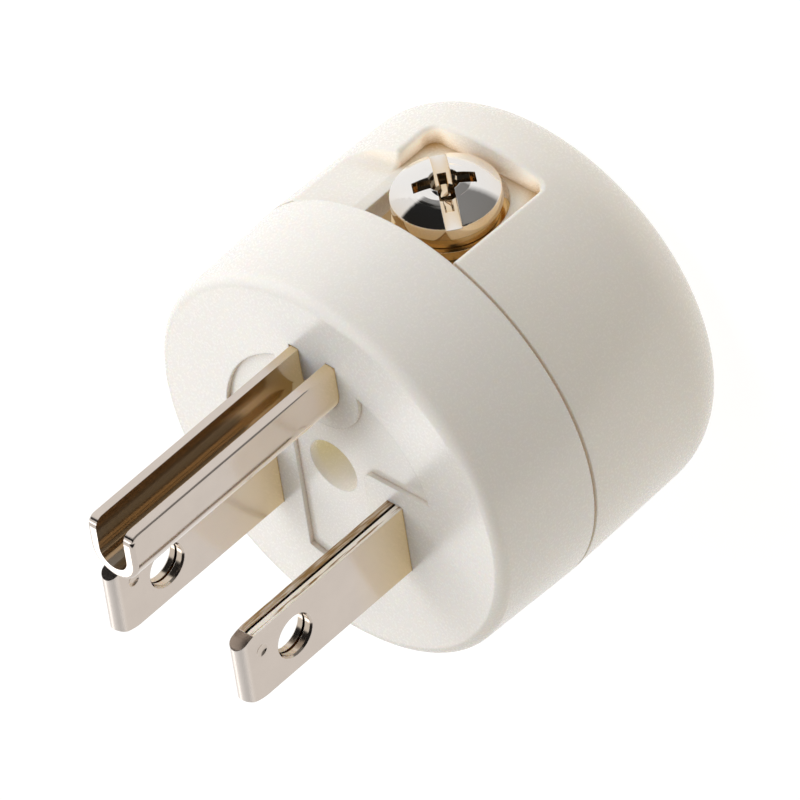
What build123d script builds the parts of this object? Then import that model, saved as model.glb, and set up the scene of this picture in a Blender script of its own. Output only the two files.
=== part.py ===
"""Plug adapter with a side earth terminal, as separate pieces, in millimetres.

The origin is the centre of the flat socket face. +Z points out along the pins, +Y points
from the blades to the earth pin and the terminal screw, and X runs across the two blades.
"""
import os
from math import cos, hypot, radians, sin, tan

from build123d import *

os.makedirs("parts", exist_ok=True)

# Moulded body: two round shells that meet at the joint line
body_length = 26.4
joint_height = 16.6
joint_radius = 17.15
body_draft = 0.35
front_edge = 0.9
rear_edge = 5.0
joint_bevel = 0.12
joint_groove = 0.2
joint_groove_depth = 0.7
wall = 2.2
face_thickness = 3.2
socket_thickness = 3.0
fit_gap = 0.1
contact_gap = 0.025

# Plug pattern
blade_spacing = 12.7
blade_line_y = -3.25
blade_length = 17.7
blade_width = 6.3
sheet = 0.63
seam = 0.22
tip_narrowing = 0.65
tip_taper = 2.0
tip_bulge = 0.15
blade_hole_radius = 1.7
blade_hole_reach = 12.2
blade_hole_bevel = 0.15
dimple_radius = 0.55
dimple_depth = 0.15
dimple_reach = 15.6
dimple_rise = 1.25
ear_half_width = 5.6
ear_length = 1.9

# Contact jaws at the inner end of each blade strip
jaw_mouth = 1.5
jaw_pinch = 0.5
jaw_belly = 1.15
jaw_bend = 0.9
jaw_foot_gap = 0.5
jaw_belly_height = 6.5
jaw_throat = 2.6
jaw_neck = 3.4

# Earth pin: a strip rolled to a U that opens away from the blades
pin_width = 4.5
pin_height = 4.85
pin_sheet = 0.9
pin_top_y = 11.3
pin_length = 21.9
pin_corner = 0.85
pin_tip_round = 0.35
tenon_width = 1.5
tenon_rise = 0.05
head_overhang = 0.3

# Raised and sunk areas of the plug face
relief_depth = 0.4
relief_radius = 10.15
relief_half_gap = 3.5
blade_land_top = 1.6
pin_land_radius = 4.1
relief_corner = 0.8

# Joining screw in the central well
well_radius = 2.3
joining_head_radius = 2.1
joining_head_height = 1.7
joining_radius = 1.3
joining_length = 10.0
joining_seat = 2.0
joining_slot = 0.7
joining_slot_depth = 0.8
joining_slot_length = 2.9
boss_radius = 3.8

# Recess for the earth terminal
recess_half_width = 5.6
recess_depth = 2.65
recess_back = 6.3
recess_corner = 0.9
recess_lip = 0.35
ramp_angle = 12.0
ramp_start = 1.5
scoop_radius = 0.8
scoop_start = 10.8
scoop_turn = 70
scoop_rise = 4.0
terminal_z = 10.95
notch_radius = 4.6

# Terminal plate, nut, washers and screw
plate_thickness = 1.0
plate_sink = 1.7
plate_half_width = 4.5
plate_bend = 1.3
plate_gap = 0.05
plate_margin = 0.4
plate_drop = 1.4
collar_height = 2.4
nut_side = 7.0
nut_height = 3.2
nut_corner = 0.5
thread_radius = 2.0
thread_gap = 0.05
screw_end_gap = 0.4
screw_length = 8.0
screw_point = 0.5
head_radius = 4.15
head_side = 1.1
head_dome = 1.2
head_rim_round = 0.15
slot_width = 1.25
slot_depth = 1.35
slot_turn = 39.3
cross_length = 4.9
cross_width = 1.25
cross_depth = 1.9
cross_taper = 12
cross_core_radius = 1.25
washer_radius = 4.25
washer_thickness = 0.8
washer_bore = 2.15
spring_radius = 3.8
spring_thickness = 1.0
spring_cut = 0.5
spring_turn = 200
stack_gap = 0.05

# Socket slots in the rear face
line_slot_height = 7.0
neutral_slot_height = 9.0
slot_opening = 2.3
slot_lead = 0.6

# Ribs inside the shells
rib = 1.2
chamber_half = 4.7
lip_thickness = 1.0
lip_length = 1.5
block_half_width = 7.0
block_wall = 1.6
barrier = 1.4
collar_margin = 0.9

# Places worked out from the sizes above
end_radius = joint_radius - body_draft
inner_radius = end_radius - wall
face_inside = body_length - face_thickness
blade_tip = body_length + blade_length
pin_tip = body_length + pin_length
pin_half = pin_width / 2
pin_round_y = pin_top_y - pin_height + pin_half
foot_top = face_inside - collar_height
foot_bottom = foot_top - plate_thickness
foot_y = pin_round_y - pin_half - plate_drop
recess_floor_y = joint_radius - recess_depth
plate_top_y = recess_floor_y - plate_sink
plate_bottom_y = plate_top_y - plate_thickness
plate_front = recess_back + plate_margin
nut_top_y = plate_bottom_y - plate_gap
nut_bottom_y = nut_top_y - nut_height
washer_bottom_y = plate_top_y + stack_gap
spring_bottom_y = washer_bottom_y + washer_thickness + stack_gap
head_bottom_y = spring_bottom_y + spring_thickness + stack_gap
head_rim_y = head_bottom_y + head_side
screw_tip_y = head_bottom_y - screw_length
block_bottom_y = min(screw_tip_y - block_wall, foot_y)
seat_height = joint_height + joining_seat
ear_front = face_inside - plate_gap
ear_back = ear_front - ear_length
blade_half_thickness = seam / 2 + sheet
lip_radius = inner_radius - fit_gap
strip_foot = socket_thickness + jaw_foot_gap
ramp_plane = Plane(
    origin=(ramp_start - recess_half_width, recess_floor_y + ramp_start * tan(radians(ramp_angle)), 0),
    x_dir=(0, 0, 1),
    z_dir=(-cos(radians(ramp_angle)), -sin(radians(ramp_angle)), 0),
)
scoop_end = (
    scoop_start - scoop_radius * sin(radians(scoop_turn)),
    scoop_radius * (1 - cos(radians(scoop_turn))),
)
scoop_top = (
    scoop_end[0] - scoop_rise / tan(radians(scoop_turn)),
    scoop_end[1] + scoop_rise,
)


def shell_section(corners, rounded_at, radius):
    """Draws half of a shell's outline and rounds the corner nearest to one point."""
    with BuildSketch(Plane.XZ) as section:
        with BuildLine():
            Polyline(*corners, close=True)
        make_face()
        corner = section.vertices().sort_by_distance((*rounded_at, 0))[0]
        fillet(corner, radius)
    return section.sketch


def channel(grow):
    """Draws the section of the earth pin, grown all round by a gap."""
    with BuildSketch() as section:
        with Locations((0, pin_round_y)):
            Circle(pin_half + grow)
        with Locations((0, pin_round_y)):
            Rectangle(
                pin_width + 2 * grow,
                pin_top_y + grow - pin_round_y,
                align=(Align.CENTER, Align.MIN),
            )
        with Locations((0, pin_round_y)):
            Circle(pin_half - pin_sheet - grow, mode=Mode.SUBTRACT)
            Rectangle(
                pin_width - 2 * pin_sheet - 2 * grow,
                pin_height,
                align=(Align.CENTER, Align.MIN),
                mode=Mode.SUBTRACT,
            )
    return section.sketch


def lip_ring(outer):
    """Draws the locating lip out to one radius, open on the terminal's side."""
    with BuildSketch() as section:
        Circle(outer)
        Circle(lip_radius - lip_thickness, mode=Mode.SUBTRACT)
        Rectangle(
            2 * (block_half_width + fit_gap),
            joint_radius,
            align=(Align.CENTER, Align.MIN),
            mode=Mode.SUBTRACT,
        )
    return section.sketch


def box_between(low, high, mode=Mode.ADD):
    """Adds a block between two opposite corners to the part being built."""
    size = [b - a for a, b in zip(low, high)]
    with Locations(low):
        Box(*size, align=(Align.MIN, Align.MIN, Align.MIN), mode=mode)


# Front shell: the plug face, a skirt, and a boss for the joining screw
front_outline = [
    (0, joint_height),
    (joint_radius - joint_bevel, joint_height),
    (joint_radius, joint_height + joint_bevel),
    (end_radius, body_length),
    (0, body_length),
]
front_profile = shell_section(front_outline, (end_radius, body_length), front_edge)
with BuildPart() as front_body:
    add(front_profile)
    revolve(axis=Axis.Z)
    with BuildSketch(Plane.XY.offset(joint_height)):
        Circle(inner_radius)
    extrude(amount=face_inside - joint_height, mode=Mode.SUBTRACT)
    # locating lip that slides into the rear shell, left out around the terminal block
    with BuildSketch(Plane.XY.offset(joint_height - lip_length)):
        add(lip_ring(lip_radius))
    extrude(amount=lip_length)
    with BuildSketch(Plane.XY.offset(joint_height)):
        add(lip_ring(inner_radius + fit_gap))
    extrude(amount=lip_length)
    # wall that closes the terminal recess from the inside
    with BuildSketch(Plane.XY.offset(joint_height)):
        Circle(inner_radius + fit_gap)
        with Locations((0, plate_top_y + fit_gap)):
            Rectangle(
                2 * block_half_width,
                inner_radius,
                align=(Align.CENTER, Align.MIN),
                mode=Mode.INTERSECT,
            )
    extrude(amount=barrier)
    # boss with the well, and the collar behind the earth pin
    with BuildSketch(Plane.XY.offset(joint_height)):
        Circle(boss_radius)
    extrude(amount=face_inside - joint_height)
    box_between(
        (-pin_half - collar_margin, foot_y, foot_top + fit_gap),
        (pin_half + collar_margin, plate_bottom_y - fit_gap, face_inside),
    )
    # sunk area of the plug face around three raised lands
    with BuildSketch(Plane.XY.offset(body_length)) as relief:
        Circle(relief_radius)
        for side in (-1, 1):
            with Locations((side * (relief_half_gap + relief_radius), blade_land_top - relief_radius)):
                RectangleRounded(2 * relief_radius, 2 * relief_radius, relief_corner, mode=Mode.SUBTRACT)
        with Locations((0, pin_round_y)):
            Circle(pin_land_radius, mode=Mode.SUBTRACT)
    extrude(amount=-relief_depth, mode=Mode.SUBTRACT)
    # well, screw hole and the slots for the three contacts
    with BuildSketch(Plane.XY.offset(seat_height)):
        Circle(well_radius)
    extrude(amount=body_length - seat_height, mode=Mode.SUBTRACT)
    with BuildSketch(Plane.XY.offset(joint_height)):
        Circle(joining_radius + fit_gap)
    extrude(amount=joining_seat, mode=Mode.SUBTRACT)
    with BuildSketch(Plane.XY.offset(face_inside)):
        with Locations((-blade_spacing / 2, blade_line_y), (blade_spacing / 2, blade_line_y)):
            Rectangle(2 * (blade_half_thickness + contact_gap), blade_width + 2 * contact_gap)
    extrude(amount=face_thickness, mode=Mode.SUBTRACT)
    add(channel(contact_gap).moved(Location((0, 0, foot_top))))
    extrude(amount=body_length - foot_top, mode=Mode.SUBTRACT)
front_body.part.label = "front_body"
export_step(front_body.part, "parts/front_body.step")

# Rear shell: socket face, skirt, terminal block and the ribs that hold the contacts
rear_outline = [
    (0, 0),
    (end_radius, 0),
    (joint_radius, joint_height),
    (0, joint_height),
]
rear_profile = shell_section(rear_outline, (end_radius, 0), rear_edge)
with BuildPart() as rear_cover:
    add(rear_profile)
    revolve(axis=Axis.Z)
    with BuildSketch(Plane.XY.offset(joint_height)):
        Circle(inner_radius)
        with Locations((0, block_bottom_y)):
            Rectangle(
                2 * block_half_width,
                inner_radius,
                align=(Align.CENTER, Align.MIN),
                mode=Mode.SUBTRACT,
            )
    extrude(amount=socket_thickness - joint_height, mode=Mode.SUBTRACT)
    # shallow groove round the joint, so that the two rims meet in a clean shadow line
    with BuildSketch(Plane.XY.offset(joint_height - joint_groove)):
        Circle(joint_radius)
        Circle(joint_radius - joint_groove_depth, mode=Mode.SUBTRACT)
    extrude(amount=joint_groove, mode=Mode.SUBTRACT)
    # boss for the joining screw and the ribs along both contact chambers
    with BuildSketch(Plane.XY.offset(socket_thickness)):
        Circle(boss_radius)
        with Locations((0, blade_line_y + chamber_half), (0, blade_line_y - chamber_half - rib)):
            Rectangle(2 * (lip_radius - lip_thickness), rib, align=(Align.CENTER, Align.MIN))
        Circle(lip_radius - lip_thickness - fit_gap, mode=Mode.INTERSECT)
    extrude(amount=joint_height - socket_thickness)
    # fingers that press the ears of the blade strips against the plug face
    with BuildSketch(Plane.XY.offset(joint_height)):
        for row in (blade_line_y + chamber_half, blade_line_y - chamber_half - rib):
            with Locations((-blade_spacing / 2, row), (blade_spacing / 2, row)):
                Rectangle(2 * rib, rib, align=(Align.CENTER, Align.MIN))
    extrude(amount=ear_back - joint_height - plate_gap)
    # finger that backs the foot of the terminal plate
    box_between(
        (-pin_half, foot_y, joint_height),
        (pin_half, foot_y + rib, foot_bottom - plate_gap),
    )
    # pilot hole, and the two slots with their lead-in slopes
    with BuildSketch(Plane.XY.offset(joint_height)):
        Circle(joining_radius + thread_gap)
    extrude(amount=-joining_length + joining_seat - rib, mode=Mode.SUBTRACT)
    for side, height in ((1, line_slot_height), (-1, neutral_slot_height)):
        with BuildSketch(Plane.XY):
            with Locations((side * blade_spacing / 2, blade_line_y)):
                Rectangle(slot_opening, height)
        extrude(amount=socket_thickness, mode=Mode.SUBTRACT)
        with BuildSketch(Plane.XY):
            with Locations((side * blade_spacing / 2, blade_line_y)):
                Rectangle(slot_opening + 2 * slot_lead, height + 2 * slot_lead)
        extrude(amount=slot_lead, taper=45, mode=Mode.SUBTRACT)
    # recess with its flat floor, open to the outside and to the joint
    with BuildSketch(Plane.XZ.offset(-recess_floor_y)) as recess:
        with Locations((0, recess_back)):
            Rectangle(
                2 * recess_half_width,
                joint_height - recess_back,
                align=(Align.CENTER, Align.MIN),
            )
        fillet(recess.vertices().group_by(Axis.Y)[0], recess_corner)
    extrude(amount=-joint_radius, mode=Mode.SUBTRACT)
    # sloping wire entry beside the floor, which sweeps up at its inner end
    with BuildSketch(ramp_plane):
        with BuildLine():
            Line((joint_height, 0), (scoop_start, 0))
            CenterArc((scoop_start, scoop_radius), scoop_radius, 180 + 90 - scoop_turn, scoop_turn)
            Polyline(scoop_end, scoop_top, (joint_height, scoop_top[1]), (joint_height, 0))
        make_face()
    extrude(amount=joint_radius, mode=Mode.SUBTRACT)
    # soft rim where the recess and the wire entry break through the outside
    groove_bottom = joint_height - joint_groove
    rim = rear_cover.edges().filter_by_position(Axis.Z, recess_back, groove_bottom - recess_lip)
    rim = rim.filter_by_position(Axis.Y, recess_floor_y - recess_lip, joint_radius)
    rim = rim.filter_by(lambda edge: hypot(edge.center().X, edge.center().Y) > end_radius - recess_lip)
    fillet(rim, recess_lip)
    # notch down to the terminal plate, the plate's slot, the nut's pocket and the screw's hole
    with BuildSketch(Plane.XZ.offset(-plate_top_y)):
        with Locations((0, terminal_z)):
            Circle(notch_radius)
            Rectangle(2 * notch_radius, joint_height - terminal_z, align=(Align.CENTER, Align.MIN))
    extrude(amount=-joint_radius, mode=Mode.SUBTRACT)
    box_between(
        (-plate_half_width - fit_gap, plate_bottom_y - plate_gap, plate_front - fit_gap),
        (plate_half_width + fit_gap, plate_top_y + plate_gap, joint_height),
        mode=Mode.SUBTRACT,
    )
    box_between(
        (-nut_side / 2 - fit_gap, nut_bottom_y - fit_gap, terminal_z - nut_side / 2 - fit_gap),
        (nut_side / 2 + fit_gap, plate_bottom_y, joint_height),
        mode=Mode.SUBTRACT,
    )
    with BuildSketch(Plane.XZ.offset(-nut_bottom_y)):
        with Locations((0, terminal_z)):
            Circle(washer_bore)
    extrude(amount=nut_bottom_y - screw_tip_y + screw_end_gap, mode=Mode.SUBTRACT)
rear_cover.part.label = "rear_cover"
export_step(rear_cover.part, "parts/rear_cover.step")


# Blades: each is one strip folded over at the tip, whose two ends open into a contact jaw
def blade_strip(side):
    """Builds the folded strip on one side, with its ears, hole and jaw."""
    center_x = side * blade_spacing / 2
    across = Plane(origin=(center_x, blade_line_y, 0), x_dir=(1, 0, 0), z_dir=(0, -1, 0))
    fold_z = blade_tip - blade_half_thickness
    leaf_line = [
        (jaw_mouth, strip_foot),
        (jaw_pinch, strip_foot + jaw_throat),
        (jaw_belly, strip_foot + jaw_belly_height),
        (jaw_belly, ear_back - jaw_neck),
        (seam / 2, ear_back),
        (seam / 2, fold_z),
    ]
    with BuildPart() as strip:
        with BuildSketch(across):
            with BuildLine():
                FilletPolyline(*leaf_line, radius=jaw_bend)
                offset(amount=sheet, side=Side.RIGHT)
            make_face()
            mirror(about=Plane.YZ)
            with Locations((0, fold_z)):
                Circle(blade_half_thickness)
                Rectangle(2 * blade_half_thickness, sheet, align=(Align.CENTER, Align.MAX))
        extrude(amount=blade_width / 2, both=True)
        with BuildSketch(across):
            for leaf in (-1, 1):
                with Locations((leaf * (seam + sheet) / 2, ear_back)):
                    Rectangle(sheet, ear_length, align=(Align.CENTER, Align.MIN))
        extrude(amount=ear_half_width, both=True)
        with BuildSketch(Plane.YZ.offset(center_x)):
            with Locations((blade_line_y, body_length + blade_hole_reach)):
                Circle(blade_hole_radius)
            for edge in (-1, 1):
                wide = blade_line_y + edge * blade_width / 2
                narrow = wide - edge * tip_narrowing
                middle = (wide + narrow) / 2 + edge * tip_bulge
                taper_start = blade_tip - tip_taper
                taper_middle = blade_tip - tip_taper / 2
                with BuildLine():
                    ThreePointArc((wide, taper_start), (middle, taper_middle), (narrow, blade_tip))
                    Polyline((narrow, blade_tip), (wide, blade_tip), (wide, taper_start))
                make_face()
        extrude(amount=sheet + seam, both=True, mode=Mode.SUBTRACT)
        rims = strip.edges().filter_by(GeomType.CIRCLE)
        rims = rims.filter_by(lambda edge: abs(edge.radius - blade_hole_radius) < 0.01).sort_by(Axis.X)
        chamfer((rims[0], rims[-1]), blade_hole_bevel)
        ball_radius = (dimple_radius**2 + dimple_depth**2) / (2 * dimple_depth)
        ball_x = center_x + blade_half_thickness - dimple_depth + ball_radius
        with Locations((ball_x, blade_line_y + dimple_rise, body_length + dimple_reach)):
            Sphere(ball_radius, mode=Mode.SUBTRACT)
    return strip.part


for name, side in (("line_blade", 1), ("neutral_blade", -1)):
    blade = blade_strip(side)
    blade.label = name
    export_step(blade, f"parts/{name}.step")

# Earth pin: a rolled channel with a staked tenon at the inner end of each leg
tenon_low = pin_round_y + tenon_rise
with BuildPart() as earth_pin:
    add(channel(0).moved(Location((0, 0, foot_top))))
    extrude(amount=pin_tip - foot_top)
    fillet(earth_pin.edges().group_by(Axis.Z)[-1].group_by(Axis.Y)[-1], pin_corner)
    # the outer rim of the tip is rounded, the inner one stays sharp
    rim = earth_pin.edges().group_by(Axis.Z)[-1]
    sheet_middle = pin_half - pin_sheet / 2
    rim = rim.filter_by(
        lambda edge: hypot(edge.center().X, min(edge.center().Y - pin_round_y, 0)) > sheet_middle
    )
    fillet(rim, pin_tip_round)
    for leg in (-1, 1):
        middle = leg * (pin_half - pin_sheet / 2)
        box_between(
            (middle - pin_sheet / 2, tenon_low, foot_bottom - head_overhang),
            (middle + pin_sheet / 2, tenon_low + tenon_width, foot_top),
        )
        box_between(
            (
                middle - pin_sheet / 2 - head_overhang,
                tenon_low - head_overhang,
                foot_bottom - plate_gap - 2 * head_overhang,
            ),
            (
                middle + pin_sheet / 2 + head_overhang,
                tenon_low + tenon_width + head_overhang,
                foot_bottom - plate_gap,
            ),
        )
earth_pin.part.label = "earth_pin"
export_step(earth_pin.part, "parts/earth_pin.step")

# Terminal plate: a bent strip from the earth pin's foot to the screw
with BuildPart() as terminal_plate:
    with BuildSketch(Plane.YZ):
        with BuildLine():
            FilletPolyline(
                (foot_y, foot_top),
                (plate_top_y, foot_top),
                (plate_top_y, plate_front),
                radius=plate_bend + plate_thickness,
            )
            offset(amount=plate_thickness, side=Side.RIGHT)
        make_face()
    extrude(amount=plate_half_width, both=True)
    for leg in (-1, 1):
        middle = leg * (pin_half - pin_sheet / 2)
        box_between(
            (middle - pin_sheet / 2 - plate_gap, tenon_low - plate_gap, foot_bottom),
            (middle + pin_sheet / 2 + plate_gap, tenon_low + tenon_width + plate_gap, foot_top),
            mode=Mode.SUBTRACT,
        )
    with BuildSketch(Plane.XZ.offset(-plate_top_y)):
        with Locations((0, terminal_z)):
            Circle(washer_bore)
    extrude(amount=plate_thickness, mode=Mode.SUBTRACT)
terminal_plate.part.label = "terminal_plate"
export_step(terminal_plate.part, "parts/terminal_plate.step")

# Terminal nut, flat washer and split spring washer on the screw's axis
with BuildPart() as terminal_nut:
    with BuildSketch(Plane.XZ.offset(-nut_top_y)):
        with Locations((0, terminal_z)):
            RectangleRounded(nut_side, nut_side, nut_corner)
            Circle(thread_radius, mode=Mode.SUBTRACT)
    extrude(amount=nut_height)
terminal_nut.part.label = "terminal_nut"
export_step(terminal_nut.part, "parts/terminal_nut.step")

with BuildPart() as flat_washer:
    with BuildSketch(Plane.XZ.offset(-washer_bottom_y)):
        with Locations((0, terminal_z)):
            Circle(washer_radius)
            Circle(washer_bore, mode=Mode.SUBTRACT)
    extrude(amount=-washer_thickness)
flat_washer.part.label = "flat_washer"
export_step(flat_washer.part, "parts/flat_washer.step")

with BuildPart() as spring_washer:
    with BuildSketch(Plane.XZ.offset(-spring_bottom_y)):
        with Locations((0, terminal_z)):
            Circle(spring_radius)
            Circle(washer_bore, mode=Mode.SUBTRACT)
    extrude(amount=-spring_thickness)
    with BuildSketch(Plane.XZ.offset(-spring_bottom_y)):
        with Locations(Location((0, terminal_z), spring_turn)):
            Rectangle(spring_radius, spring_cut, align=(Align.MIN, Align.CENTER))
    extrude(amount=-spring_thickness, mode=Mode.SUBTRACT)
spring_washer.part.label = "spring_washer"
export_step(spring_washer.part, "parts/spring_washer.step")

# Terminal screw: a domed binding head with a through slot and a shorter cross slot
dome_radius = (head_radius**2 + head_dome**2) / (2 * head_dome)
head_top_y = head_rim_y + head_dome
shank = thread_radius - thread_gap
with BuildPart() as terminal_screw:
    with BuildSketch(Plane.XY.offset(terminal_z)) as turned:
        with BuildLine():
            Polyline(
                (0, head_top_y),
                (0, screw_tip_y),
                (shank - screw_point, screw_tip_y),
                (shank, screw_tip_y + screw_point),
                (shank, head_bottom_y),
                (head_radius, head_bottom_y),
                (head_radius, head_rim_y),
            )
            RadiusArc((head_radius, head_rim_y), (0, head_top_y), -dome_radius)
        make_face()
        rim = turned.vertices().sort_by_distance((head_radius, head_rim_y, 0))[0]
        fillet(rim, head_rim_round)
    revolve(axis=Axis((0, 0, terminal_z), (0, 1, 0)))
    with BuildSketch(Plane.XZ.offset(-head_top_y)):
        with Locations(Location((0, terminal_z), slot_turn)):
            Rectangle(2 * head_radius, slot_width)
    extrude(amount=slot_depth, mode=Mode.SUBTRACT)
    with BuildSketch(Plane.XZ.offset(-head_top_y)):
        with Locations(Location((0, terminal_z), slot_turn)):
            Rectangle(cross_length, cross_width)
            Rectangle(cross_width, cross_length)
            Circle(cross_core_radius)
    extrude(amount=cross_depth, taper=cross_taper, mode=Mode.SUBTRACT)
terminal_screw.part.label = "terminal_screw"
export_step(terminal_screw.part, "parts/terminal_screw.step")

# Joining screw at the bottom of the well
with BuildPart() as joining_screw:
    with BuildSketch(Plane.XZ) as outline:
        with BuildLine():
            Polyline(
                (0, seat_height + joining_head_height),
                (0, seat_height - joining_length),
                (joining_radius, seat_height - joining_length + joining_radius),
                (joining_radius, seat_height),
                (joining_head_radius, seat_height),
                (joining_head_radius, seat_height + joining_head_height),
                close=True,
            )
        make_face()
        top_corner = outline.vertices().sort_by_distance(
            (joining_head_radius, seat_height + joining_head_height, 0)
        )[0]
        fillet(top_corner, joining_head_height / 2)
    revolve(axis=Axis.Z)
    with BuildSketch(Plane.XY.offset(seat_height + joining_head_height)):
        Rectangle(joining_slot, joining_slot_length)
        Rectangle(joining_slot_length, joining_slot)
    extrude(amount=-joining_slot_depth, mode=Mode.SUBTRACT)
joining_screw.part.label = "joining_screw"
export_step(joining_screw.part, "parts/joining_screw.step")
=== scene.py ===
# %% [markdown]
# This lesson dresses a small mains plug adapter: an ivory moulded body in two shells, two folded
# blades, a rolled earth pin, and a screw terminal in a recess at the side. Every solid comes from
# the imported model, at its real size, so nothing here moves or reshapes it. What is left to make
# is what the eye judges: moulded plastic, nickel plate, turned steel, and soft studio light.

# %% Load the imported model
from math import cos, pi, radians, sin

import bpy
from mathutils import Matrix, Vector

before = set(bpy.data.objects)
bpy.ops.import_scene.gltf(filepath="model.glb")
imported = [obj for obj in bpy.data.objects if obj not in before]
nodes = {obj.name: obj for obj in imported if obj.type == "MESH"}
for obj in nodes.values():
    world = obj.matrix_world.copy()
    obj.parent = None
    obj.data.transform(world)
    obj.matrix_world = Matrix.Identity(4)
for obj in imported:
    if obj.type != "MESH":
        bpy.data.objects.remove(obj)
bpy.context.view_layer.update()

MM = 0.001
print("nodes:", ", ".join(sorted(nodes)))

# %% [markdown]
# A product photographer steps back and uses a long lens, so that parallel edges stay nearly
# parallel. The same lens here is a focal length of more than 700 mm on an ordinary sensor. Three
# angles and a distance say where the camera stands: azimuth round the object, elevation above it,
# and a roll about the line of sight, because the adapter lies askew in the picture.

# %% Camera
image_side = 800
focal_pixels = 16450.0
sensor_width = 36.0
view_azimuth = radians(141.22)
view_elevation = radians(29.19)
view_roll = radians(-130.47)
view_distance = 1.2
view_target = Vector((0.00178, 0.00303, 0.02017))


def camera_axes(azimuth, elevation, roll):
    """Returns the camera's right, up and backward directions."""
    level = Vector((cos(azimuth), sin(azimuth), 0))
    away = Vector((sin(azimuth), -cos(azimuth), 0))
    backward = cos(elevation) * away + sin(elevation) * Vector((0, 0, 1))
    upright = backward.cross(level)
    right = cos(roll) * level + sin(roll) * upright
    return right, backward.cross(right), backward


camera_right, camera_up, camera_back = camera_axes(view_azimuth, view_elevation, view_roll)
camera_data = bpy.data.cameras.new("long_lens")
camera_data.sensor_width = sensor_width
camera_data.lens = sensor_width * focal_pixels / image_side
camera_data.clip_start = 0.05
camera_data.clip_end = 20
camera = bpy.data.objects.new("camera", camera_data)
bpy.context.scene.collection.objects.link(camera)
turn = Matrix((camera_right, camera_up, camera_back)).transposed()
camera.matrix_world = Matrix.Translation(view_target + view_distance * camera_back) @ turn.to_4x4()
bpy.context.scene.camera = camera
bpy.context.scene.view_settings.view_transform = "Standard"
print("lens of", round(camera_data.lens), "mm, from", [round(v, 3) for v in camera.location])

# %% [markdown]
# A shader is a small graph. One helper adds a node, sets its options and joins its inputs, which
# keeps each graph as short as a recipe, and the commonest nodes get a short name of their own.
# Object coordinates are in metres here. One helper turns them into millimetres, so that sizes in
# the graphs read as on a drawing, and a Noise scale reads as waves per millimetre.

# %% Helpers for node graphs
def put(tree, kind, inputs=None, **options):
    """Adds one node, sets its options, and fills or links its inputs."""
    made = tree.nodes.new("ShaderNode" + kind)
    for name, value in options.items():
        setattr(made, name, value)
    for name, value in (inputs or {}).items():
        if isinstance(value, bpy.types.NodeSocket):
            tree.links.new(value, made.inputs[name])
        else:
            made.inputs[name].default_value = value
    return made


def maths(tree, operation, *values):
    """Adds a Math node and returns its result."""
    return put(tree, "Math", dict(enumerate(values)), operation=operation).outputs[0]


def vector_maths(tree, operation, *values):
    """Adds a Vector Math node and returns its result, which for a dot product is a number."""
    made = put(tree, "VectorMath", dict(enumerate(values)), operation=operation)
    return made.outputs["Value" if operation == "DOT_PRODUCT" else "Vector"]


def ranged(tree, value, source=(0.0, 1.0), target=(0.0, 1.0)):
    """Maps a value from one range to another, and holds it within the second."""
    inputs = {"Value": value, "From Min": source[0], "From Max": source[1]}
    inputs.update({"To Min": target[0], "To Max": target[1]})
    return put(tree, "MapRange", inputs).outputs[0]


def mixed(tree, share, first, second):
    """Mixes two colours, each three numbers or a socket, and returns the result."""
    pair = [c if isinstance(c, bpy.types.NodeSocket) else (*c, 1) for c in (first, second)]
    return put(tree, "Mix", {0: share, 6: pair[0], 7: pair[1]}, data_type="RGBA").outputs[2]


def part(tree, vector, axis):
    """Takes the X, Y or Z part of a vector."""
    return put(tree, "SeparateXYZ", {0: vector}).outputs[axis]


def own_place(tree):
    """Gives each point's place in its object's own coordinates, in millimetres."""
    in_metres = put(tree, "TexCoord").outputs["Object"]
    return vector_maths(tree, "MULTIPLY", in_metres, (1 / MM,) * 3)


def noise(tree, where, scale, detail, distortion=0.0):
    """Adds a Noise Texture and returns its value."""
    inputs = {"Vector": where, "Scale": scale, "Detail": detail, "Distortion": distortion}
    return put(tree, "TexNoise", inputs).outputs[0]


# %% [markdown]
# A group is a graph with named sockets. It is built once and placed in every material that needs
# it, each with its own values, so one finish stays consistent over many pieces.

# %% Helpers for shader groups
def group(name, inputs, outputs):
    """Starts a shader group with named sockets, and returns its tree, entry and exit."""
    tree = bpy.data.node_groups.new(name, "ShaderNodeTree")
    for label, value in inputs.items():
        kind = "Float" if isinstance(value, (int, float)) else "Vector"
        socket = tree.interface.new_socket(label, in_out="INPUT", socket_type="NodeSocket" + kind)
        socket.default_value = value
    for label, kind in outputs.items():
        tree.interface.new_socket(label, in_out="OUTPUT", socket_type="NodeSocket" + kind)
    print("group", repr(name), "takes", ", ".join(inputs), "and gives", ", ".join(outputs))
    return tree, tree.nodes.new("NodeGroupInput"), tree.nodes.new("NodeGroupOutput")


def hand_out(tree, leave, **results):
    """Joins a group's results to its outputs."""
    for label, result in results.items():
        tree.links.new(result, leave.inputs[label])


def place(tree, name, **values):
    """Places a finished group in a material, with its own values."""
    made = put(tree, "Group", node_tree=bpy.data.node_groups[name])
    for label, value in values.items():
        socket = made.inputs[label.replace("_", " ")]
        if isinstance(value, bpy.types.NodeSocket):
            tree.links.new(value, socket)
        else:
            socket.default_value = value
    return made
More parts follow.
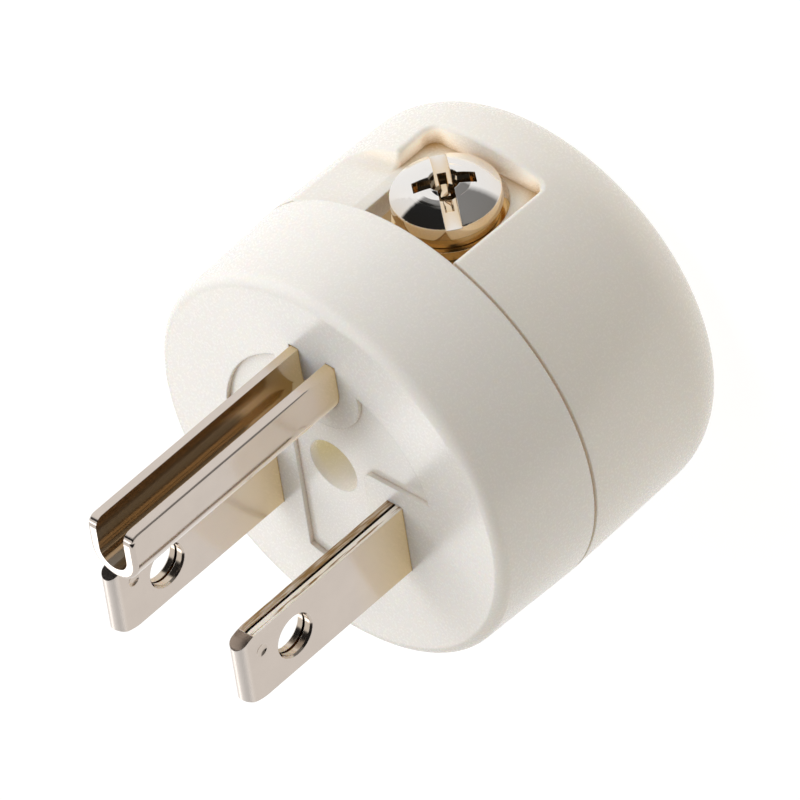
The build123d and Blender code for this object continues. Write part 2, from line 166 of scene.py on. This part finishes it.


# %% [markdown]
# Moulded and stamped pieces never have a perfectly sharp corner. A bevel modifier would round
# them in the mesh. The Bevel node rounds only the shading across each edge and leaves the mesh
# alone, which suits solids that must not change. How far its normal turns from the true one also
# says where the edges are, and that mask later lightens the metal's edges, partly as rubbed wear
# and partly as a painted highlight.

# %% Shader group: soft edges
soft_edges, entry, leave = group("soft edges", {"Radius": 0.1}, {"Normal": "Vector", "Edge": "Float"})
full_edge = 0.25
radius = maths(soft_edges, "MULTIPLY", entry.outputs["Radius"], MM)
rounded = put(soft_edges, "Bevel", {"Radius": radius}, samples=4).outputs[0]
true_normal = put(soft_edges, "NewGeometry").outputs["Normal"]
agreement = vector_maths(soft_edges, "DOT_PRODUCT", rounded, true_normal)
turned_away = maths(soft_edges, "SUBTRACT", 1.0, agreement)
edge_mask = ranged(soft_edges, turned_away, (0.0, full_edge))
hand_out(soft_edges, leave, Normal=rounded, Edge=edge_mask)

# %% [markdown]
# A sheared strip has crisper corners than its solid. Raising each part of a normal to the fifth
# power draws it toward the nearest flat side, so a rounded corner mirrors the two sides up to a
# thin line between them. It is done in the object's own directions, and only near the top edge.
# A lean tilts the result a little, as the burr of the shears does.

# %% Shader group: crisp top edge
def redirected(tree, normal, start, end):
    """Turns a normal from world directions to the object's own, or back."""
    spaces = {"convert_from": start, "convert_to": end}
    return put(tree, "VectorTransform", {0: normal}, vector_type="NORMAL", **spaces).outputs[0]


crisp_top, entry, leave = group(
    "crisp top edge",
    {"Normal": (0.0, 0.0, 1.0), "Top": 10.0, "Depth": 0.5, "Lean": (0.0, 0.0, 0.0)},
    {"Normal": "Vector"},
)
own_normal = redirected(crisp_top, entry.outputs["Normal"], "WORLD", "OBJECT")
second_power = vector_maths(crisp_top, "MULTIPLY", own_normal, own_normal)
fourth_power = vector_maths(crisp_top, "MULTIPLY", second_power, second_power)
fifth_power = vector_maths(crisp_top, "MULTIPLY", fourth_power, own_normal)
leaning = vector_maths(crisp_top, "ADD", fifth_power, entry.outputs["Lean"])
edge_start = maths(crisp_top, "SUBTRACT", entry.outputs["Top"], entry.outputs["Depth"])
at_top = maths(crisp_top, "GREATER_THAN", part(crisp_top, own_place(crisp_top), "Y"), edge_start)
chosen = put(crisp_top, "Mix", {0: at_top, 4: own_normal, 5: leaning}, data_type="VECTOR").outputs[1]
crisp = redirected(crisp_top, chosen, "OBJECT", "WORLD")
hand_out(crisp_top, leave, Normal=vector_maths(crisp_top, "NORMALIZE", crisp))

# %% [markdown]
# Light that bounces about in a narrow gap between walls comes out warmer and darker each time, and
# the materials below paint that shade, and the walls' reflections in metal, into their colours. A
# mask painted on an image would have to be painted again for each shape, so Ambient Occlusion
# measures how closed in a spot is, within a chosen reach. One version counts the walls of all
# pieces, which suits the gap between the shells and metal beside plastic. The other counts only
# the piece's own walls, which suits a recess that a screw sits in.

# %% Shader group: closed-in places
def closed_in_group(name, local):
    """Makes the mask of closed-in spots, by the piece's own walls alone or by all pieces."""
    tree, entry, leave = group(name, {"Reach": 1.5, "Sharpness": 1.5}, {"Mask": "Float"})
    reach = maths(tree, "MULTIPLY", entry.outputs["Reach"], MM)
    openness = put(tree, "AmbientOcclusion", {"Distance": reach}, samples=4, only_local=local)
    shut = maths(tree, "SUBTRACT", 1.0, openness.outputs["AO"])
    hand_out(tree, leave, Mask=maths(tree, "POWER", shut, entry.outputs["Sharpness"]))


closed_in_group("closed in", local=False)
closed_in_group("closed in by itself", local=True)

# %% [markdown]
# The skin of a moulding copies its mould: almost flat, with a faint ripple a few millimetres
# long, a finer grain under it, and cloudy streaks where the melt cooled unevenly. Three noises
# of different scale make them, so that no two spots of the plastic look the same.

# %% Shader group: moulded skin
moulded_skin, entry, leave = group(
    "moulded skin",
    {"Ripple": 0.35, "Grain": 6.0, "Streaks": 0.12},
    {"Height": "Float", "Cloud": "Float", "Sheen": "Float"},
)
in_mm = own_place(moulded_skin)
ripple = noise(moulded_skin, in_mm, entry.outputs["Ripple"], detail=2.0)
grain = noise(moulded_skin, in_mm, entry.outputs["Grain"], detail=3.0)
cloud = noise(moulded_skin, in_mm, entry.outputs["Streaks"], detail=4.0, distortion=0.8)
hand_out(moulded_skin, leave, Height=ripple, Cloud=cloud, Sheen=grain)

# %% [markdown]
# Strip metal keeps the marks of the rolls: fine lines that all run along the strip. Stretching a
# noise makes them, here by squeezing the coordinates along the strip, which is the object's Z.
# A second, rounder noise is the slight haze of a nickel bath.

# %% Shader group: rolled plate
rolled_plate, entry, leave = group(
    "rolled plate",
    {"Line scale": 9.0, "Haze scale": 0.5},
    {"Lines": "Float", "Haze": "Float"},
)
along_strip = (1.0, 1.0, 0.04)
in_mm = own_place(rolled_plate)
squeezed = vector_maths(rolled_plate, "MULTIPLY", in_mm, along_strip)
lines = noise(rolled_plate, squeezed, entry.outputs["Line scale"], detail=3.0)
haze = noise(rolled_plate, in_mm, entry.outputs["Haze scale"], detail=4.0)
hand_out(rolled_plate, leave, Lines=lines, Haze=haze)

# %% [markdown]
# Every finish below starts and ends alike: a material with one Principled shader, and a bump that
# rides on the softened normal. Two helpers say that once.

# %% Helpers for materials
BLACK = (0.0, 0.0, 0.0)


def start_material(name):
    """Makes a material, and returns it with its tree and its shader."""
    material = bpy.data.materials.new(name)
    material.use_nodes = True
    return material, material.node_tree, material.node_tree.nodes["Principled BSDF"]


def finish_surface(tree, shader, height, bump_depth, strength, normal):
    """Gives the shader a bump, with its depth in millimetres, on top of a normal."""
    inputs = {"Height": height, "Distance": bump_depth * MM, "Strength": strength, "Normal": normal}
    tree.links.new(put(tree, "Bump", inputs).outputs[0], shader.inputs["Normal"])


# %% [markdown]
# Light from behind shines through the thin walls of the recess and of the well in the plug face.
# Tracing it through would be slow and noisy, so a small emission stands in for it, in the hollows
# alone and strongest where a wall faces the camera's side, with the light at its back. Metal
# beside the plastic mirrors it brighter than it is seen directly, so mirror rays get an even
# share on top.

# %% Light through the plastic
level_back = Vector((camera_back.x, 0, camera_back.z)).normalized()
scattered_light = 0.15
corner_glow = (0.08, 0.04, 0.004)
mirrored_lift = (0.33, 0.31, 0.27)


def light_through(tree, in_hollow, corner_share, colour, thinness):
    """Gives the emission colour of the walls in a shell's hollows."""
    normal = put(tree, "NewGeometry").outputs["Normal"]
    behind = vector_maths(tree, "DOT_PRODUCT", normal, level_back)
    from_behind = maths(tree, "ADD", maths(tree, "MAXIMUM", behind, 0.0), scattered_light)
    passed = maths(tree, "MULTIPLY", from_behind, thinness)
    share = maths(tree, "MULTIPLY", in_hollow, passed)
    glow = mixed(tree, share, BLACK, mixed(tree, corner_share, colour, corner_glow))
    added = {0: 1.0, 6: glow, 7: (*mirrored_lift, 1)}
    lifted = put(tree, "Mix", added, data_type="RGBA", blend_type="ADD").outputs[2]
    return mixed(tree, put(tree, "LightPath").outputs["Is Glossy Ray"], glow, lifted)


# %% [markdown]
# The shells are a glossy urea-like plastic. Light enters it about a millimetre deep before it
# comes back, which the subsurface scattering gives. Shade is painted into the colour: yellow in a
# hollow, where light bounces between ivory walls, golden in a tight corner, and brown in the groove
# between the shells. Where the evenness is below one, a hollow's painted shade is strongest on walls
# that face +X. The levels are heights in millimetres: a hollow counts from just under the sunk area
# of the plug face, so that the face stays ivory, and the groove's painted brown stops above the
# floor's shadow. One recipe serves both shells, each with its own tone, since two mouldings never
# match exactly.

# %% Material: ivory moulding
# Painted shade: golden in tight corners, brown in the groove between the shells.
golden = (0.46, 0.24, 0.03)
painted_groove_shade = (0.42, 0.25, 0.08)
sunk_level = 26.0
hollow_level = 25.2
groove_level = 5.0


def ivory_moulding(name, tone, shade, hollow, evenness, fade, depth, thinness):
    """Makes one shell's plastic, with painted shade in its hollows, corners and groove, and the glow of
    its thin walls.
    """
    material, tree, shader = start_material(name)
    skin = place(tree, "moulded skin")
    edges = place(tree, "soft edges", Radius=0.15)
    near_wall = place(tree, "closed in by itself", Reach=5.0, Sharpness=fade)
    corner = place(tree, "closed in by itself", Reach=1.6, Sharpness=1.5)
    groove = place(tree, "closed in", Reach=0.3, Sharpness=2.0)
    height = part(tree, own_place(tree), "Z")
    sideways = part(tree, put(tree, "NewGeometry").outputs["Normal"], "X")
    sunk = ranged(tree, height, (sunk_level, hollow_level))
    in_hollow = maths(tree, "MULTIPLY", near_wall.outputs["Mask"], sunk)
    hollow_shade_share = maths(tree, "MULTIPLY", in_hollow, maths(tree, "MAXIMUM", sideways, evenness))
    corner_share = maths(tree, "MULTIPLY", corner.outputs["Mask"], depth)
    off_floor = maths(tree, "GREATER_THAN", height, groove_level)
    groove_share = maths(tree, "MULTIPLY", groove.outputs["Mask"], off_floor)
    cloudy = mixed(tree, skin.outputs["Cloud"], tone, shade)
    # Painted shade goes into the base colour: the hollow's, then the corners' golden, then the groove's
    # brown.
    warm = mixed(tree, hollow_shade_share, cloudy, hollow)
    cornered = mixed(tree, corner_share, warm, golden)
    tree.links.new(mixed(tree, groove_share, cornered, painted_groove_shade), shader.inputs["Base Color"])
    glow = light_through(tree, in_hollow, corner_share, warm, thinness)
    tree.links.new(glow, shader.inputs["Emission Color"])
    shader.inputs["Emission Strength"].default_value = 1.0
    rough = ranged(tree, skin.outputs["Sheen"], target=(0.24, 0.30))
    tree.links.new(rough, shader.inputs["Roughness"])
    finish_surface(tree, shader, skin.outputs["Height"], 0.010, 0.5, edges.outputs["Normal"])
    shader.inputs["IOR"].default_value = 1.5
    shader.inputs["Subsurface Weight"].default_value = 0.4
    shader.inputs["Subsurface Radius"].default_value = (1.0, 0.7, 0.4)
    shader.inputs["Subsurface Scale"].default_value = 1.0 * MM
    return material


# %% [markdown]
# The top edge of a blade is where the strip was sheared before it was folded. Its slightly rounded
# corners mirror light and dark, which is painted into the colour: one leaf's edge gets a painted
# brown reflection, the other's a bright one, and short painted brown dashes run along its rim. The
# group measures how far a point lies across the blade from the seam between the leaves.

# %% Shader group: sheared edge
sheared_edge, entry, leave = group(
    "sheared edge",
    {"Top": 0.0, "Middle": 0.0, "Rim": 0.5, "Rim width": 0.09},
    {"Top": "Float", "Brown": "Float"},
)
edge_depth = 0.05
seam_half = 0.1
along_edge = (8.0, 8.0, 0.6)
in_mm = own_place(sheared_edge)
above_line = maths(sheared_edge, "SUBTRACT", part(sheared_edge, in_mm, "Y"), entry.outputs["Top"])
on_top = maths(sheared_edge, "GREATER_THAN", above_line, -edge_depth)
across = maths(sheared_edge, "SUBTRACT", part(sheared_edge, in_mm, "X"), entry.outputs["Middle"])
dark_reflecting_leaf = maths(sheared_edge, "LESS_THAN", across, -seam_half)
rim = maths(sheared_edge, "COMPARE", across, entry.outputs["Rim"], entry.outputs["Rim width"])
stretched = vector_maths(sheared_edge, "MULTIPLY", in_mm, along_edge)
dashes = noise(sheared_edge, stretched, scale=1.0, detail=2.0)
dark_reflecting_rim = maths(sheared_edge, "MULTIPLY", rim, ranged(sheared_edge, dashes, (0.42, 0.55)))
uneven = ranged(sheared_edge, dashes, (0.3, 0.6), (0.4, 1.0))
dark_reflecting_side = maths(sheared_edge, "MULTIPLY", dark_reflecting_leaf, uneven)
dark_reflections = maths(sheared_edge, "MAXIMUM", dark_reflecting_side, dark_reflecting_rim)
hand_out(sheared_edge, leave, Top=on_top, Brown=maths(sheared_edge, "MULTIPLY", dark_reflections, on_top))

# %% [markdown]
# Bright nickel is a metal with a warm grey reflection. Near the plastic it mirrors ivory and falls
# into shade, and looks golden, most of all at the root of a blade or a pin: a reflection and shade
# painted into its colour. Along edges the plate is painted lighter, partly as rubbed wear and partly
# as a painted highlight. The colours are mixed in that order, so that a lighter edge stays light
# even beside the plastic.

# %% Colour of nickel plate
NOWHERE = 1000.0
# Painted reflection and shade near walls, where the nickel mirrors the ivory plastic.
painted_wall_reflection = (0.52, 0.36, 0.15)
# Painted reflection of the plug face, golden, at the root of a blade or a pin.
painted_root_reflection = (0.60, 0.48, 0.28)
# Lighter plate along edges: partly rubbed wear, partly a painted highlight.
worn_plate_and_highlight = (0.90, 0.88, 0.84)
hazier = 0.9


def strip_colour(tree, plate, edges, height, tint, root, root_reach):
    """Mixes a strip's colour from its haze, painted reflections near walls and at its root, and its worn
    and highlighted edges.
    """
    near_wall = place(tree, "closed in", Reach=3.5, Sharpness=1.3)
    hazy = mixed(tree, plate.outputs["Haze"], tint, [hazier * value for value in tint])
    with_wall_reflection = mixed(tree, near_wall.outputs["Mask"], hazy, painted_wall_reflection)
    from_root = maths(tree, "SUBTRACT", height, root)
    root_reflection_share = ranged(tree, from_root, (root_reach, 0.0), (0.0, 0.7))
    with_root_reflection = mixed(tree, root_reflection_share, with_wall_reflection, painted_root_reflection)
    return mixed(tree, maths(tree, "MULTIPLY", edges.outputs["Edge"], 0.5), with_root_reflection, worn_plate_and_highlight)


# %% [markdown]
# Past the fold at a blade's tip the strip is drawn and duller, and the rolled lines make its
# reflections streak a little. One recipe serves blades, pin, plate and nut. A strip that has no
# sheared top, root or fold gets them at a height that no piece reaches.

# %% Material: nickel plate on strip
drawn_fold = (0.80, 0.74, 0.69)
# Painted reflections on a blade's sheared top: bright over the top, dark brown on one leaf and in dashes
# along the rim.
painted_top_reflection = (0.76, 0.73, 0.70)
painted_dark_reflection = (0.22, 0.12, 0.03)


def nickel_strip(
    name,
    tint,
    roughness,
    top=NOWHERE,
    top_depth=0.5,
    lean=(0, 0, 0),
    middle_x=None,
    root=-NOWHERE,
    root_reach=6.0,
    fold=NOWHERE,
):
    """Makes bright nickel over rolled strip: crisp at its top, with a painted golden reflection at its
    root, dull at its fold.
    """
    material, tree, shader = start_material(name)
    plate = place(tree, "rolled plate")
    edges = place(tree, "soft edges", Radius=0.05)
    height = part(tree, own_place(tree), "Z")
    colour = strip_colour(tree, plate, edges, height, tint, root, root_reach)
    past_fold = maths(tree, "SUBTRACT", height, fold)
    fold_share = ranged(tree, past_fold, (0.0, 0.5), (0.0, 0.3))
    facing_up = part(tree, put(tree, "NewGeometry").outputs["Normal"], "Y")
    upright = maths(tree, "SUBTRACT", 1.0, maths(tree, "ABSOLUTE", facing_up))
    at_fold = maths(tree, "MULTIPLY", fold_share, upright)
    colour = mixed(tree, maths(tree, "MULTIPLY", at_fold, 2.5), colour, drawn_fold)
    if middle_x is not None:
        sheared = place(tree, "sheared edge", Top=top, Middle=middle_x)
        # The sheared top's painted bright and dark reflections.
        colour = mixed(tree, sheared.outputs["Top"], colour, painted_top_reflection)
        colour = mixed(tree, sheared.outputs["Brown"], colour, painted_dark_reflection)
    tree.links.new(colour, shader.inputs["Base Color"])
    rough = ranged(tree, plate.outputs["Lines"], target=(roughness - 0.04, roughness + 0.05))
    tree.links.new(maths(tree, "ADD", rough, at_fold), shader.inputs["Roughness"])
    shape = {"Top": top, "Depth": top_depth, "Lean": lean}
    crisp = place(tree, "crisp top edge", Normal=edges.outputs["Normal"], **shape)
    finish_surface(tree, shader, plate.outputs["Lines"], 0.004, 0.4, crisp.outputs["Normal"])
    shader.inputs["Metallic"].default_value = 1.0
    return material


# %% [markdown]
# Screws and washers are turned, so their marks run in rings round an axis, and the shank of a
# screw is threaded. The distance from the axis gives the rings. The angle round the axis plus the
# way along it, counted in thread pitches, gives the thread: one turn further is one pitch along.

# %% Shader group: turned metal
turned_metal, entry, leave = group(
    "turned metal",
    {
        "Centre": (0.0, 0.0, 0.0),
        "Axis": (0.0, 1.0, 0.0),
        "Across": (1.0, 0.0, 0.0),
        "Pitch": 0.7,
        "Shank": 2.0,
    },
    {"Height": "Float", "Rings": "Float"},
)
ring_depth = 0.004
thread_depth = 0.6
arm = vector_maths(turned_metal, "SUBTRACT", own_place(turned_metal), entry.outputs["Centre"])
along = vector_maths(turned_metal, "DOT_PRODUCT", arm, entry.outputs["Axis"])
beside = vector_maths(turned_metal, "CROSS_PRODUCT", entry.outputs["Axis"], entry.outputs["Across"])
first = vector_maths(turned_metal, "DOT_PRODUCT", arm, entry.outputs["Across"])
second = vector_maths(turned_metal, "DOT_PRODUCT", arm, beside)
squares = [maths(turned_metal, "POWER", length, 2.0) for length in (first, second)]
from_axis = maths(turned_metal, "SQRT", maths(turned_metal, "ADD", *squares))
ring_noise = {"W": from_axis, "Scale": 5.0, "Detail": 3.0}
rings = put(turned_metal, "TexNoise", ring_noise, noise_dimensions="1D").outputs[0]
turns = maths(turned_metal, "DIVIDE", maths(turned_metal, "ARCTAN2", second, first), 2 * pi)
pitches = maths(turned_metal, "DIVIDE", along, entry.outputs["Pitch"])
thread = maths(turned_metal, "PINGPONG", maths(turned_metal, "ADD", turns, pitches), 0.5)
on_shank = maths(turned_metal, "LESS_THAN", from_axis, entry.outputs["Shank"])
shank_thread = maths(turned_metal, "MULTIPLY", thread, on_shank)
thread_height = maths(turned_metal, "MULTIPLY", shank_thread, thread_depth)
ring_height = maths(turned_metal, "MULTIPLY", rings, ring_depth)
hand_out(turned_metal, leave, Height=maths(turned_metal, "ADD", ring_height, thread_height), Rings=rings)

# %% [markdown]
# The terminal's screw and washers are plated steel, brighter and smoother than the strips, and
# the joining screw is plain zinc. The middle of each piece's own box gives the axis of its rings,
# so that one recipe fits every round piece, wherever it sits. Near the walls each piece gets a
# painted golden reflection of the plastic, and its edges are painted lighter, partly as rubbed
# wear and partly as a painted highlight.

# %% Material: turned and plated steel
# Painted reflection of the ivory walls, golden, on turned metal near them.
painted_wall_gold = (0.62, 0.40, 0.14)


def turned_steel(name, piece, axis, tint, roughness, shank=0.0, pitch=0.7):
    """Makes plated turned steel, with its rings about the middle of one piece, a painted golden
    reflection near walls, and worn and highlighted edges.
    """
    material, tree, shader = start_material(name)
    corners = [Vector(corner) for corner in piece.bound_box]
    centre = sum(corners, Vector()) / len(corners) / MM
    turning = place(tree, "turned metal", Centre=centre, Axis=axis, Pitch=pitch, Shank=shank)
    edges = place(tree, "soft edges", Radius=0.08)
    near_wall = place(tree, "closed in", Reach=4.0, Sharpness=1.0)
    with_wall_reflection = mixed(tree, near_wall.outputs["Mask"], tint, painted_wall_gold)
    worn_and_highlighted = mixed(tree, maths(tree, "MULTIPLY", edges.outputs["Edge"], 0.4), with_wall_reflection, worn_plate_and_highlight)
    tree.links.new(worn_and_highlighted, shader.inputs["Base Color"])
    rough = ranged(tree, turning.outputs["Rings"], target=(roughness - 0.02, roughness + 0.04))
    tree.links.new(rough, shader.inputs["Roughness"])
    finish_surface(tree, shader, turning.outputs["Height"], 1.0, 1.0, edges.outputs["Normal"])
    shader.inputs["Metallic"].default_value = 1.0
    return material


# %% [markdown]
# The looks of the two shells differ in tone and in the painted shade of their hollows. The front
# shell's hollow is the well of the joining screw, with dark yellow shade painted on one side. The
# rear one's is the terminal recess, painted a pale warm shade all round with painted golden shade in
# its corners, and it glows more, since its walls are thin. Levels and middles are in millimetres.

# %% Looks of the shells and the strips
front_look = {
    "tone": (0.87, 0.845, 0.805),
    "shade": (0.85, 0.825, 0.785),
    "hollow": (0.42, 0.33, 0.05),
    "evenness": 0.0,
    "fade": 0.8,
    "depth": 0.3,
    "thinness": 0.6,
}
rear_look = {
    "tone": (0.86, 0.83, 0.78),
    "shade": (0.84, 0.81, 0.755),
    "hollow": (0.84, 0.77, 0.60),
    "evenness": 1.0,
    "fade": 1.0,
    "depth": 2.4,
    "thinness": 1.6,
}
NICKEL = (0.585, 0.515, 0.46)
face_height = 26.4
blade_middle = 6.35
blade_look = {"top": -0.1, "top_depth": 0.06, "lean": (0, 0, -0.36), "root": face_height, "fold": 43.3}
pin_look = {"top": 11.3, "root": face_height, "root_reach": 2.5}
m4_thread = {"shank": 2.0, "pitch": 0.7}
joining_thread = {"shank": 1.35, "pitch": 0.9}
print("blades rise from", face_height, "mm, one each side at", blade_middle, "mm")

# %% [markdown]
# Each node takes its material through its object's slots, so the solid itself stays untouched.
# Screws and washers take the axis that they turn about: the terminal's run along Y, out of the
# side, and the joining screw runs along Z, through both shells.

# %% Put the materials on the pieces
ALONG_Y = (0, 1, 0)
ALONG_Z = (0, 0, 1)


def turned_piece(name, node, axis, tint, roughness, **thread):
    """Makes turned steel for one node."""
    return turned_steel(name, nodes[node], axis, tint, roughness, **thread)


finishes = {
    "front_body": ivory_moulding("ivory_front", **front_look),
    "rear_cover": ivory_moulding("ivory_rear", **rear_look),
    "line_blade": nickel_strip("nickel_line", NICKEL, 0.12, middle_x=blade_middle, **blade_look),
    "neutral_blade": nickel_strip("nickel_neutral", NICKEL, 0.13, middle_x=-blade_middle, **blade_look),
    "earth_pin": nickel_strip("nickel_pin", NICKEL, 0.11, **pin_look),
    "terminal_plate": nickel_strip("nickel_plate", (0.60, 0.52, 0.45), 0.18),
    "flat_washer": turned_piece("nickel_washer", "flat_washer", ALONG_Y, (0.62, 0.55, 0.48), 0.12),
    "spring_washer": turned_piece("spring_steel", "spring_washer", ALONG_Y, (0.50, 0.46, 0.42), 0.20),
    "terminal_screw": turned_piece(
        "nickel_screw", "terminal_screw", ALONG_Y, (0.74, 0.72, 0.70), 0.05, **m4_thread
    ),
    "terminal_nut": nickel_strip("zinc_nut", (0.62, 0.62, 0.62), 0.28),
    "joining_screw": turned_piece(
        "zinc_screw", "joining_screw", ALONG_Z, (0.60, 0.59, 0.56), 0.22, **joining_thread
    ),
}
for name, material in finishes.items():
    piece = nodes[name]
    piece.data.materials.clear()
    piece.data.materials.append(material)
    piece.material_slots[0].link = "OBJECT"
    piece.material_slots[0].material = material
print("dressed", len(finishes), "of", len(nodes), "nodes")

# %% [markdown]
# The studio is white all round, apart from the dark room behind the camera. Bright metal shows
# both: a face turned across the view mirrors the white, and one turned to the camera mirrors the
# dark, so a domed screw head is half white and half black. One group says how bright the studio
# is in a direction. Mirror rays see it in full contrast, and diffuse rays see the dark lighter
# and the white dimmer, because the room's walls send some light back and forth.

# %% Shader group: studio
studio, entry, leave = group(
    "studio",
    {
        "Direction": (0.0, 0.0, 1.0),
        "Camera side": (0.0, 0.0, 1.0),
        "Mirror ray": 0.0,
        "Camera ray": 0.0,
        "Reach": 80.0,
        "Mirrored edge": 4.0,
        "Softened edge": 20.0,
        "Mirrored dark": 0.02,
        "Softened dark": 0.42,
        "Softened white": 0.70,
    },
    {"Brightness": "Float"},
)
mirror_ray = entry.outputs["Mirror ray"]
edge_pair = (entry.outputs["Softened edge"], entry.outputs["Mirrored edge"])
dark_pair = (entry.outputs["Softened dark"], entry.outputs["Mirrored dark"])
straight = vector_maths(studio, "NORMALIZE", entry.outputs["Direction"])
facing = vector_maths(studio, "DOT_PRODUCT", straight, entry.outputs["Camera side"])
degrees_away = maths(studio, "DEGREES", maths(studio, "ARCCOSINE", facing))
inside = maths(studio, "SUBTRACT", entry.outputs["Reach"], degrees_away)
edge_width = ranged(studio, mirror_ray, target=edge_pair)
dark_share = ranged(studio, maths(studio, "DIVIDE", inside, edge_width))
darkness = ranged(studio, mirror_ray, target=dark_pair)
whiteness = ranged(studio, mirror_ray, target=(entry.outputs["Softened white"], 1.0))
lost = maths(studio, "MULTIPLY", dark_share, maths(studio, "SUBTRACT", whiteness, darkness))
brightness = maths(studio, "SUBTRACT", whiteness, lost)
hand_out(studio, leave, Brightness=maths(studio, "MAXIMUM", brightness, entry.outputs["Camera ray"]))

# %% [markdown]
# The floor and the world both show this studio, so one helper places the group and tints it.
# Diffuse rays get a warmer white, the colour of the room's walls. The brightness goes into the
# colour, so that the strength of the glow can stay a plain number.

# %% Light of the studio
WHITE = (1.0, 1.0, 1.0)
wall_white = (1.0, 0.95, 0.86)


def studio_light(tree, direction, share=1.0):
    """Gives the studio's colour for rays that go in one direction, or a share of it."""
    ray = put(tree, "LightPath")
    rays = {"Camera_ray": ray.outputs["Is Camera Ray"], "Mirror_ray": ray.outputs["Is Glossy Ray"]}
    light = place(tree, "studio", Direction=direction, Camera_side=camera_back, **rays)
    tint = mixed(tree, ray.outputs["Is Diffuse Ray"], WHITE, wall_white)
    return mixed(tree, maths(tree, "MULTIPLY", light.outputs["Brightness"], share), BLACK, tint)


# %% [markdown]
# The adapter stands on a white light table. The table glows like the studio around it, and adds
# the lamps' light that falls on it, so it reads as white paper and still shows a soft shadow.
# Its underside is clear to the camera, so that the socket face can be looked at from below.

# %% Floor
middle = Vector((0, 0, 0.024))
floor_reach = 1.6
floor_drop = 0.05 * MM
table_glow = 0.85
paper_grey = (0.28, 0.28, 0.28)
floor_corners = [(-1, -1), (1, -1), (1, 1), (-1, 1)]
floor_points = [(floor_reach * x, floor_reach * y, -floor_drop) for x, y in floor_corners]
floor_mesh = bpy.data.meshes.new("floor")
floor_mesh.from_pydata(floor_points, [], [(0, 1, 2, 3)])
floor = bpy.data.objects.new("floor", floor_mesh)
bpy.context.scene.collection.objects.link(floor)
paper = bpy.data.materials.new("paper")
paper.use_nodes = True
tree = paper.node_tree
tree.nodes.clear()
spot = put(tree, "NewGeometry").outputs["Position"]
from_object = vector_maths(tree, "SUBTRACT", spot, middle)
glow = put(tree, "Emission", {"Color": studio_light(tree, from_object, table_glow)})
matte = put(tree, "BsdfDiffuse", {"Color": (*paper_grey, 1)})
both = put(tree, "AddShader", {0: glow.outputs[0], 1: matte.outputs[0]})
from_under = put(tree, "NewGeometry").outputs["Backfacing"]
seen = put(tree, "LightPath").outputs["Is Camera Ray"]
clear = put(tree, "BsdfTransparent")
sides = {0: maths(tree, "MULTIPLY", from_under, seen), 1: both.outputs[0], 2: clear.outputs[0]}
shown = put(tree, "MixShader", sides)
put(tree, "OutputMaterial", {0: shown.outputs[0]})
floor_mesh.materials.append(paper)
print("floor of", 2 * floor_reach, "m,", round(floor_drop / MM, 3), "mm under the adapter")

# %% [markdown]
# The world carries the same studio light, and three softboxes shape it: one above the plug face,
# one low on the terminal's side, and a white card across the object that the pins' cut ends
# mirror. A lamp's share is how bright it alone makes a white card that faces it: a square lamp of
# P watts at a distance d gives a white card the radiance P / (pi d) ** 2.

# %% World and lamps
lamp_blue = (0.93, 0.97, 1.04)


def softbox(name, toward, distance, side, share, tint=WHITE):
    """Hangs a square lamp in one direction from the object and aims it there."""
    lamp_data = bpy.data.lights.new(name, "AREA")
    lamp_data.size = side
    lamp_data.energy = share * (pi * distance) ** 2
    lamp_data.color = tint
    lamp = bpy.data.objects.new(name, lamp_data)
    bpy.context.scene.collection.objects.link(lamp)
    direction = Vector(toward).normalized()
    lamp.location = middle + distance * direction
    lamp.rotation_euler = direction.to_track_quat("Z", "Y").to_euler()
    print(name, "gives", round(lamp_data.energy, 3), "W from", distance, "m")
    return lamp


above = softbox("above", (-0.3, 0.5, 0.8), distance=0.25, side=0.2, share=0.36, tint=lamp_blue)
above.visible_glossy = False
low = softbox("low", (-0.6, 0.78, 0.2), distance=0.4, side=0.3, share=0.39, tint=lamp_blue)
low.visible_glossy = False
softbox("card", (-0.55, -0.68, 0.49), distance=0.7, side=0.2, share=0.055)

tent = bpy.data.worlds.new("tent")
bpy.context.scene.world = tent
tent.use_nodes = True
tree = tent.node_tree
backdrop = tree.nodes["Background"]
toward = put(tree, "TexCoord").outputs["Generated"]
tree.links.new(studio_light(tree, toward), backdrop.inputs["Color"])
backdrop.inputs["Strength"].default_value = 1.0
